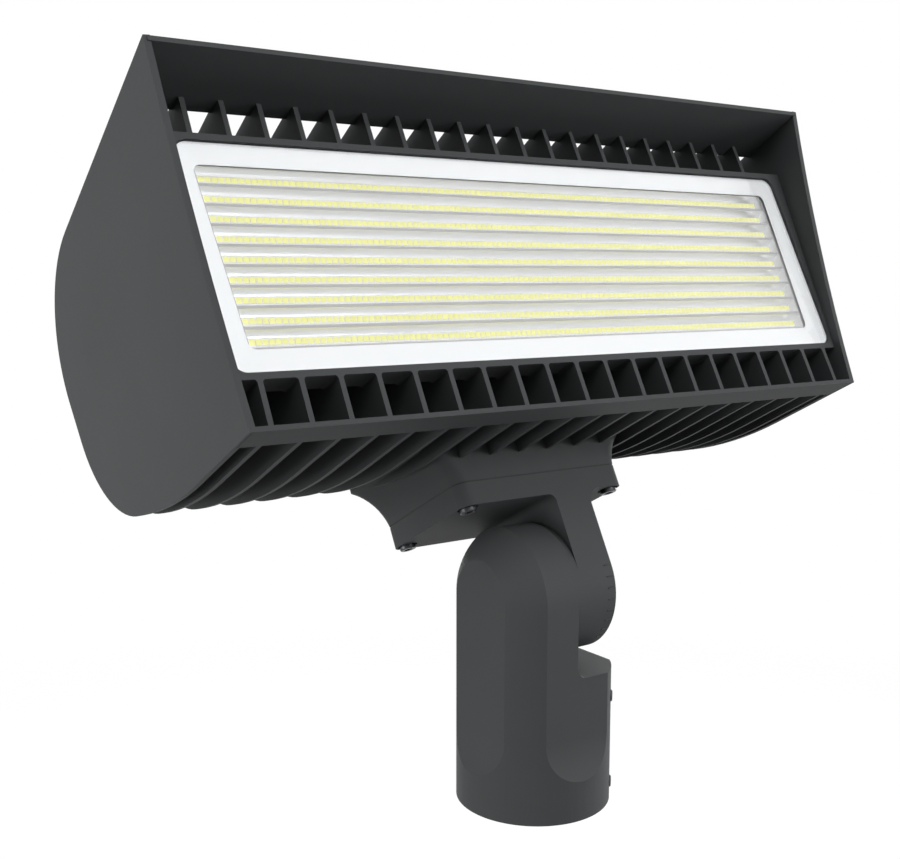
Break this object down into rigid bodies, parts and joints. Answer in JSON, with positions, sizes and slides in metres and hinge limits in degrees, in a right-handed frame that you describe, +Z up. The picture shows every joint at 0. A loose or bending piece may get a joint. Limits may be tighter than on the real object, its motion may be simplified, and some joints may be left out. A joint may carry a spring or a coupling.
{
  "type": "led flood light",
  "caption": "Finned LED flood light with a visor over its glass lens, on an arm that tilts on a knuckle slipfitter for a pole-top tenon.",
  "frame": {"origin": "centre of the tenon bore's mouth, at the slipfitter's lower end", "axes": "+Z up along the tenon, +X along the head and the tilt axis; the light looks towards -Y, tilted up by 28 degrees at rest"},
  "size_m": [0.3928, 0.1955, 0.3604],
  "materials": {
    "coated_casting": "satin charcoal powder coat on die-cast aluminium",
    "lens": "clear tempered glass with a white enamel border",
    "black_rubber": "matte",
    "white_moulding": "white reflector plastic",
    "phosphor": "yellow phosphor on white packages",
    "board": "white solder mask on an aluminium core",
    "bare_aluminium": "rolled sheet",
    "screw_steel": "dark plated steel",
    "grey_pad": "soft heat-conducting sheet",
    "driver_can": "plain extruded can, potted",
    "black_plastic": "matte"
  },
  "bodies": {
    "base": {"slipfitter": "coated_casting", "set_screws": "screw_steel", "knuckle_bolt": "screw_steel", "bolt_washer": "screw_steel", "lock_washer": "screw_steel", "knuckle_seal": "black_rubber"},
    "head": {"housing": "coated_casting", "lens_glass": "lens", "lens_gasket": "black_rubber", "reflector": "white_moulding", "led_rows": "phosphor", "led_board": "board", "led_plate": "bare_aluminium", "plate_screws": "screw_steel", "thermal_pad": "grey_pad", "driver": "driver_can", "driver_pad": "grey_pad", "driver_screws": "screw_steel", "breather_vent": "black_plastic", "wire_grommet": "black_rubber", "bracket_gasket": "black_rubber", "bracket": "coated_casting", "bracket_screws": "screw_steel", "bracket_washers": "screw_steel"}
  },
  "joints": [
    {"name": "head_tilt", "type": "hinge", "parent": "base", "child": "head", "pos_m": [0, 0, 0.108], "axis": [1, 0, 0], "range_deg": [-62, 118]}
  ]
}
